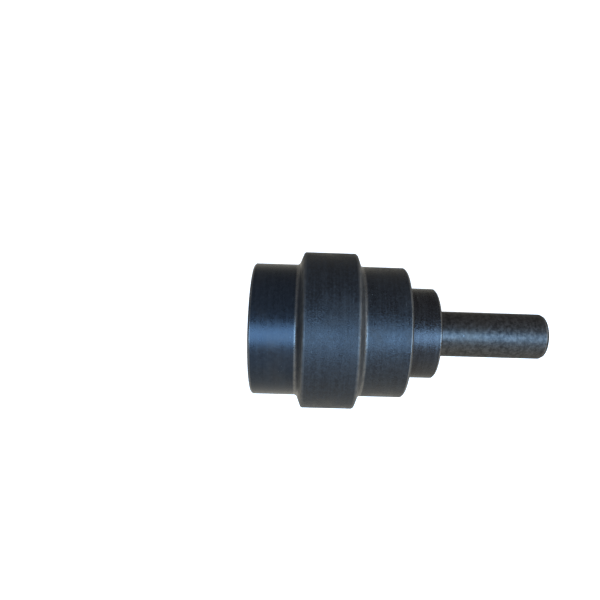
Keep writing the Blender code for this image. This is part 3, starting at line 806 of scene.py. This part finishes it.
def makeFaceSeal(side, way, body):
    # the lapped face looks at the other ring; way points from the face into the ring
    shape = sealShape
    low, high = spanOf(side + "_seal_ring")
    face, back = (low, high) if way > 0 else (high, low)
    corners = [
        corner(shape["bore"], face, 0.0004),
        corner(shape["lip"] - shape["lipChamfer"], face, 0.0002, 0.3),
        corner(shape["lip"], face + way * shape["lipChamfer"], 0.0002, 0.3),
        corner(shape["lip"], face + way * shape["lipDepth"], 0.0004),
        corner(shape["rampTop"], face + way * shape["lipDepth"], 0.0008),
        corner(shape["rampFoot"], back, 0.0004),
        corner(shape["bore"], back, 0.0004),
    ]
    ring = turnedPiece(side + "_seal_ring_lapped", corners, finishes["seal_iron"], small=True)
    settle(ring, side + "_seal_ring", body)
    makeRing(side + "_seal_toric_round", side + "_seal_toric", body,
             shape["cup"] - fitting["gap"] - shape["toric"], shape["toric"])


bearingShape = {
    "inboard": {"ball": 0.0047625, "pitch": 0.0230, "count": 9, "bore": 0.0153},
    "outboard": {"ball": 0.0057500, "pitch": 0.02175, "count": 7, "bore": 0.0128},
    "clearance": 0.0004, "cageHalf": 0.0015,
    "landShare": 0.55,          # the race's land comes this near the ball's middle, as a share of its radius
    "grooveSteps": 12,
}


def makeRace(row, node, body, way):        # way is -1 for an inner race and 1 for an outer one
    shape = bearingShape[row]
    low, high = spanOf(node)
    centre = (low + high) / 2
    groove = shape["ball"] + bearingShape["clearance"]
    edge = acos(bearingShape["landShare"] * shape["ball"] / groove)
    land = shape["pitch"] + way * groove * cos(edge)
    fitted = topOf(node) if way > 0 else shape["bore"]
    steps = bearingShape["grooveSteps"]
    corners = [corner(fitted, high, 0.0008), corner(land, high, 0.0003)]
    for step in range(steps + 1):
        angle = edge - 2 * edge * step / steps
        radius = shape["pitch"] + way * groove * cos(angle)
        corners.append(corner(radius, centre + groove * sin(angle), 0.00004))
    corners += [corner(land, low, 0.0003), corner(fitted, low, 0.0008)]
    settle(turnedPiece(node + "_ground", corners, finishes["race_steel"], small=True), node, body)


def ballPlace(row, index):
    shape = bearingShape[row]
    low, high = spanOf(row + "_bearing_inner_race")
    angle = tau * index / shape["count"] + pi / 2
    return Vector((shape["pitch"] * cos(angle), (low + high) / 2, shape["pitch"] * sin(angle)))


def makeCage(row):
    shape = bearingShape[row]
    node = row + "_bearing_cage"
    half, pocket = bearingShape["cageHalf"], shape["ball"] + bearingShape["clearance"]
    corners = squareSection(shape["pitch"] - half, shape["pitch"] + half, *spanOf(node), 0.0004)
    piece = turnedPiece(node + "_moulded", corners, finishes["cage_polyamide"], small=True)
    pockets = bmesh.new()
    for index in range(shape["count"]):
        bmesh.ops.create_uvsphere(pockets, u_segments=36, v_segments=24, radius=pocket,
                                  matrix=Matrix.Translation(ballPlace(row, index)))
    carve(piece, meshFrom(pockets, "pockets"))
    settle(piece, node, row + "_cage")


def makeBalls(row):
    shape = bearingShape[row]
    for index in range(shape["count"]):
        sphere = bmesh.new()
        bmesh.ops.create_uvsphere(sphere, u_segments=32, v_segments=20, radius=shape["ball"],
                                  matrix=Matrix.Translation(ballPlace(row, index)))
        node = f"{row}_ball_{index + 1}"
        mesh = meshFrom(sphere, node)
        piece = finishMesh(node + "_polished", mesh, finishes["ball_steel"], turning["roundAngle"])
        settle(piece, node, row + "_cage")


spacerBores = {"inner_spacer": 0.0153, "outer_spacer": 0.0285}


def makeSpacer(node, body):
    corners = squareSection(spacerBores[node], topOf(node), *spanOf(node), 0.0004, 0.3)
    settle(turnedPiece(node + "_tube", corners, finishes["spacer_steel"], small=True), node, body)


shellShape = {
    "tread": 0.0430, "flangeTop": 0.0336, "flangeRoot": 0.0400, "rootFillet": 0.0022, "flangeRound": 0.0018,
    "edgeChamfer": 0.00105, "boreChamfer": 0.0008, "mouth": 0.0308, "mouthDepth": 0.0050,
    "mouthChamfer": 0.0004, "cup": 0.0260, "cupDepth": 0.0100, "web": 0.0235, "webThickness": 0.0040,
    "bearingBore": 0.0310, "coverBore": 0.0330, "coverSeat": 0.0123, "grooveDepth": 0.0018,
}


def clipGroove(node, bore):        # for a circlip, in a bore that is followed towards +Y
    low, high = spanOf(node)
    low, high = low - fitting["gap"], high + fitting["gap"]
    bottom = bore + shellShape["grooveDepth"]
    return [corner(bore, low), corner(bottom, low, 0.0002), corner(bottom, high, 0.0002), corner(bore, high)]


def makeShell():
    shape = shellShape
    coverBore, bearingBore = shape["coverBore"], shape["bearingBore"]
    web, cup, mouth = shape["web"], shape["cup"], shape["mouth"]
    outboard, inboard = spanOf("roller_shell")
    flange = topOf("roller_shell")
    middle = (outboard + inboard) / 2
    tread, chamfer, lip = shape["tread"], shape["edgeChamfer"], shape["mouthChamfer"]
    root, top = shape["flangeRoot"] / 2, shape["flangeTop"] / 2
    mouthFloor = inboard - shape["mouthDepth"]
    cupFloor = mouthFloor - shape["cupDepth"]
    bearingStop = cupFloor - shape["webThickness"]
    coverSeat = outboard + shape["coverSeat"]
    corners = [
        corner(tread - chamfer, inboard, 0.0003, 0.40),
        corner(tread, inboard - chamfer, 0.0003, 0.48),
        corner(tread, middle + root, shape["rootFillet"], 0.42, 1),
        corner(flange, middle + top, shape["flangeRound"], 0.16),
        corner(flange, middle - top, shape["flangeRound"], 0.10),
        corner(tread, middle - root, shape["rootFillet"], 0.42, -1),
        corner(tread, outboard + chamfer, 0.0003, 0.3),
        corner(tread - chamfer, outboard, 0.0003, 0.35),
        corner(coverBore + shape["boreChamfer"], outboard, 0.0002, 0.7),
        corner(coverBore, outboard + shape["boreChamfer"], 0.0002, 0.5),
        *clipGroove("cover_circlip", coverBore),
        corner(coverBore, coverSeat, 0.0003),
        corner(bearingBore, coverSeat, 0.0003),
        *clipGroove("bearing_circlip", bearingBore),
        corner(bearingBore, bearingStop, 0.0004),
        corner(web, bearingStop, 0.0004),
        corner(web, cupFloor, 0.0004),
        corner(cup, cupFloor, 0.0006),
        corner(cup, mouthFloor, 0.0003),
        corner(mouth, mouthFloor, 0.0005),
        corner(mouth, inboard - lip, 0.0001, 0.4),
        corner(mouth + lip, inboard, 0.0001, 0.8),
    ]
    settle(turnedPiece("roller_shell_turned", corners, finishes["shell_black"]), "roller_shell", "roller")


clipShape = {
    "opening": radians(8),      # half the gap between the lugs
    "lugWidth": radians(14), "lugReach": 0.0068, "lugSteps": 6, "lugFoot": radians(1.5),
    "ringDepth": 0.0028, "ringSteps": 120, "holeReach": 0.0029, "hole": 0.0013, "edge": 0.00018,
}


def makeCirclip(node, bore):
    shape = clipShape
    low, high = spanOf(node)
    outer = bore + shellShape["grooveDepth"] - fitting["gap"]
    ring, lug = bore - shape["ringDepth"], bore - shape["lugReach"]
    opening, width, steps = shape["opening"], shape["lugWidth"], shape["ringSteps"]
    lugSide = [opening + width * step / shape["lugSteps"] for step in range(shape["lugSteps"] + 1)]
    first = opening + width + shape["lugFoot"]
    stations = [(angle, lug) for angle in lugSide]
    stations += [(first + (tau - 2 * first) * step / steps, ring) for step in range(steps + 1)]
    stations += [(tau - angle, lug) for angle in reversed(lugSide)]
    stations = [(angle - pi / 2, inner, outer) for angle, inner in stations]
    piece = plate(node + "_sprung", stations, low, high, finishes["spring_steel"], closed=False)
    holes = bmesh.new()
    for side in (-1, 1):
        angle = -pi / 2 + side * (opening + width / 2)
        radius = lug + shape["holeReach"]
        middle = Vector((radius * cos(angle), (low + high) / 2, radius * sin(angle)))
        place = Matrix.Translation(middle) @ Matrix.Rotation(pi / 2, 4, "X")
        bmesh.ops.create_cone(holes, cap_ends=True, segments=32, radius1=shape["hole"], radius2=shape["hole"],
                              depth=3 * (high - low), matrix=place)
    carve(piece, meshFrom(holes, "holes"))
    breakEdges(piece, shape["edge"])
    settle(piece, node, "roller")


coverShape = {
    "hole": 0.0063, "boss": 0.0110, "thickness": 0.0067, "rimChamfer": 0.0006,
    "groove": 0.0305, "grooveStart": 0.0018, "grooveEnd": 0.0050,
    "dishOuter": 0.0275, "dishInner": 0.0130, "dishDepth": 0.0008,
    "counterbore": 0.0105, "counterboreDepth": 0.0020,
}


def makeCover():
    shape = coverShape
    face, bossEnd = spanOf("end_cover")
    rim = topOf("end_cover")
    inner = face + shape["thickness"]
    grooveLow, grooveHigh = face + shape["grooveStart"], face + shape["grooveEnd"]
    dishFloor, counterFloor = face + shape["dishDepth"], face + shape["counterboreDepth"]
    corners = [
        corner(shape["hole"], bossEnd, 0.0003),
        corner(shape["boss"], bossEnd, 0.0003),
        corner(shape["boss"], inner, 0.0006),
        corner(rim, inner, 0.0004),
        corner(rim, grooveHigh),
        corner(shape["groove"], grooveHigh, 0.0003),
        corner(shape["groove"], grooveLow, 0.0003),
        corner(rim, grooveLow),
        corner(rim, face + shape["rimChamfer"], 0.0002, 0.7),
        corner(rim - shape["rimChamfer"], face, 0.0002, 0.9),
        corner(shape["dishOuter"], face, 0.0003, 0.6),
        corner(shape["dishOuter"] - shape["dishDepth"], dishFloor, 0.0006),
        corner(shape["dishInner"] + shape["dishDepth"], dishFloor, 0.0006),
        corner(shape["dishInner"], face, 0.0003, 0.6),
        corner(shape["counterbore"], face, 0.0002, 0.7),
        corner(shape["counterbore"], counterFloor, 0.0003),
        corner(shape["hole"], counterFloor, 0.0002),
    ]
    settle(turnedPiece("end_cover_turned", corners, finishes["cover_black"]), "end_cover", "roller")


plugShape = {
    "shank": 0.0060, "tipChamfer": 0.0010, "threadDepth": 0.0008, "threadPitch": 0.0015, "neck": 0.0008,
    "headHeight": 0.0040, "headChamfer": 0.0007,
    "flats": 0.0080, "socketDepth": 0.0055, "leadIn": 0.0008,
}


def coneCut(piece, sides, farRadius, nearRadius, length, y):
    # a cone about the place y on the axis, with its near end at the lower y
    cutter = bmesh.new()
    place = Matrix.Translation((0.0, y, 0.0)) @ Matrix.Rotation(pi / 2, 4, "X")
    bmesh.ops.create_cone(cutter, cap_ends=True, segments=sides, radius1=farRadius, radius2=nearRadius,
                          depth=length, matrix=place)
    carve(piece, meshFrom(cutter, "coneCutter"))


def makePlug():
    shape = plugShape
    face, tip = spanOf("oil_plug")
    head = topOf("oil_plug")
    under = face + shape["headHeight"]
    corners = [corner(0.0, tip), corner(shape["shank"] - shape["tipChamfer"], tip, 0.0003)]
    corners += threadTurns(shape["shank"], shape["threadDepth"], tip - shape["tipChamfer"],
                           under + shape["neck"], shape["threadPitch"])
    corners += [
        corner(shape["shank"], under, 0.0002),
        corner(head, under, 0.0003),
        corner(head, face + shape["headChamfer"], 0.0003, 0.5),
        corner(head - shape["headChamfer"], face, 0.0003, 0.5),
        corner(0.0, face),
    ]
    piece = turnedPiece("oil_plug_turned", corners, finishes["plug_steel"], small=True)
    across = shape["flats"] / 2 / cos(pi / 6)
    lead = shape["leadIn"]
    coneCut(piece, 6, across, across, shape["socketDepth"] + lead, face + (shape["socketDepth"] - lead) / 2)
    coneCut(piece, 64, across - lead, across + lead, 2 * lead, face)        # lead-in at the hexagon's mouth
    settle(piece, "oil_plug", "roller")


plugWasherShape = {"bore": 0.0065, "edge": 0.0003}


def makePlugWasher():
    shape = plugWasherShape
    corners = squareSection(shape["bore"], topOf("plug_washer"), *spanOf("plug_washer"), shape["edge"])
    piece = turnedPiece("plug_washer_soft", corners, finishes["washer_copper"], small=True)
    settle(piece, "plug_washer", "roller")


makeSpindle()
makeCollar()
makeLockNut()
makeLockWasher()
makeRing("collar_o_ring_round", "collar_o_ring", "spindle",
         sealShape["collarRing"], sealShape["collarSection"])
makeFaceSeal("fixed", 1, "spindle")
makeSpacer("inner_spacer", "spindle")
print("still side made")

for row in ("inboard", "outboard"):
    makeRace(row, row + "_bearing_inner_race", "spindle", -1)
    makeRace(row, row + "_bearing_outer_race", "roller", 1)
    makeCage(row)
    makeBalls(row)
print("bearings made")

makeShell()
makeFaceSeal("rotating", -1, "roller")
makeSpacer("outer_spacer", "roller")
makeCirclip("bearing_circlip", shellShape["bearingBore"])
makeCirclip("cover_circlip", shellShape["coverBore"])
makeCover()
makeRing("cover_o_ring_round", "cover_o_ring", "roller",
         sealShape["coverRing"], sealShape["coverSection"])
makePlug()
makePlugWasher()
print("turning side made")

studio = {
    "floorSize": 6.0, "floorDrop": 0.0001, "floorTone": (0.80, 0.79, 0.77, 1), "floorGlow": 0.80,
    "floorRoughness": 0.9, "floorSpecular": 0.1,
    "bounceTone": (0.91, 0.875, 0.77), "bounceFar": 0.31, "bounceEdge": (-0.35, 0.15),
    "skyTone": (0.34, 0.62, 1.0), "skyPower": 28.5, "skyTilt": 27, "skyDistance": 1.2, "skySize": (0.60, 1.6),
    "sideTone": (0.80, 0.90, 1.0), "sidePower": 6.0, "sideTilt": 62, "sideDistance": 1.3,
    "sideSize": (1.2, 0.6),
    "roomTone": (0.26, 0.23, 0.205, 1), "openTone": (0.80, 0.87, 0.94, 1), "openEdge": (0.25, 0.95),
    "paleTone": (0.93, 0.93, 0.93, 1),
}


def makeFloor():
    shape = bmesh.new()
    level = cadBounds[0][2] - studio["floorDrop"]
    bmesh.ops.create_grid(shape, x_segments=1, y_segments=1, size=studio["floorSize"] / 2,
                          matrix=Matrix.Translation((0.0, 0.0, level)))
    made = Finish("paleFloor")
    made.shader.inputs["Base Color"].default_value = studio["floorTone"]
    made.shader.inputs["Roughness"].default_value = studio["floorRoughness"]
    made.shader.inputs["Specular IOR Level"].default_value = studio["floorSpecular"]
    glow = made.node("ShaderNodeEmission")
    glow.inputs["Color"].default_value = (1, 1, 1, 1)
    glow.inputs["Strength"].default_value = studio["floorGlow"]
    bounce = made.node("ShaderNodeEmission")        # the floor as the roller sees it, darker far away
    bounce.inputs["Color"].default_value = (*studio["bounceTone"], 1)
    far = studio["bounceFar"]
    nearness = made.step(made.split(made.place())["X"], *studio["bounceEdge"])
    made.feed(bounce.inputs["Strength"], made.plus(far, made.times(nearness, 1.0 - far)))
    lit = made.node("ShaderNodeAddShader")
    made.feed(lit.inputs[0], made.shader.outputs[0])
    made.feed(lit.inputs[1], glow.outputs[0])
    made.feed(made.tree.nodes["Material Output"].inputs["Surface"], made.byRay(bounce, lit))
    floor = finishMesh("floor", meshFrom(shape, "floor"), made.material)


def aimedAt(position, target, up):
    back = (Vector(position) - Vector(target)).normalized()
    right = up.cross(back).normalized()
    turn = Matrix((right, back.cross(right), back)).transposed()
    return Matrix.Translation(position) @ turn.to_4x4()


def makeLamp(name, direction, up):
    middle = Vector((0.0, (cadBounds[0][1] + cadBounds[1][1]) / 2, 0.0))
    lamp = bpy.data.lights.new(name, "AREA")
    lamp.shape = "RECTANGLE"
    lamp.size, lamp.size_y = studio[name + "Size"]
    lamp.energy = studio[name + "Power"]
    lamp.color = studio[name + "Tone"]
    newObject(name, lamp).matrix_world = aimedAt(middle + studio[name + "Distance"] * direction, middle, up)


def makeRoom():
    world = bpy.data.worlds.new("room")
    bpy.context.scene.world = world
    world.use_nodes = True
    world.node_tree.nodes.clear()
    made = Nodes(world.node_tree)
    towards = made.split(made.node("ShaderNodeTexCoord").outputs["Generated"])
    openness = made.step(towards["X"], *studio["openEdge"])        # the room is open towards +X
    room, pale = made.node("ShaderNodeBackground"), made.node("ShaderNodeBackground")
    made.feed(room.inputs["Color"], made.mix(openness, studio["roomTone"], studio["openTone"]))
    pale.inputs["Color"].default_value = studio["paleTone"]
    made.feed(made.node("ShaderNodeOutputWorld").inputs["Surface"], made.byRay(room, pale))


def makeLight():
    skyTilt, sideTilt = radians(studio["skyTilt"]), radians(studio["sideTilt"])
    makeLamp("sky", Vector((sin(skyTilt), 0.0, cos(skyTilt))), Vector((0, 1, 0)))
    makeLamp("side", Vector((0.0, sin(sideTilt), cos(sideTilt))), Vector((0, 0, 1)))
    makeRoom()


cameraPlace = {
    "position": (0.09944, -0.08400, 0.32959),
    "forward": (-0.3070, 0.0246, -0.9514),
    "right": (-0.0216, 0.9992, 0.0328),
    "lens": 30.955, "sensor": 36.0, "shift": (-0.0316, 0.0337), "clipStart": 0.01,
}


def makeCamera():
    forward = Vector(cameraPlace["forward"]).normalized()
    right = Vector(cameraPlace["right"])
    right = (right - forward * right.dot(forward)).normalized()
    up = right.cross(forward)
    data = bpy.data.cameras.new("camera")
    data.lens = cameraPlace["lens"]
    data.sensor_width = cameraPlace["sensor"]
    data.shift_x, data.shift_y = cameraPlace["shift"]
    data.clip_start = cameraPlace["clipStart"]
    camera = newObject("camera", data)
    turn = Matrix((right, up, -forward)).transposed()
    camera.matrix_world = Matrix.Translation(cameraPlace["position"]) @ turn.to_4x4()
    bpy.context.scene.camera = camera
    bpy.context.scene.view_settings.view_transform = "Standard"


makeFloor()
makeLight()
makeCamera()
print("floor, light and camera made")
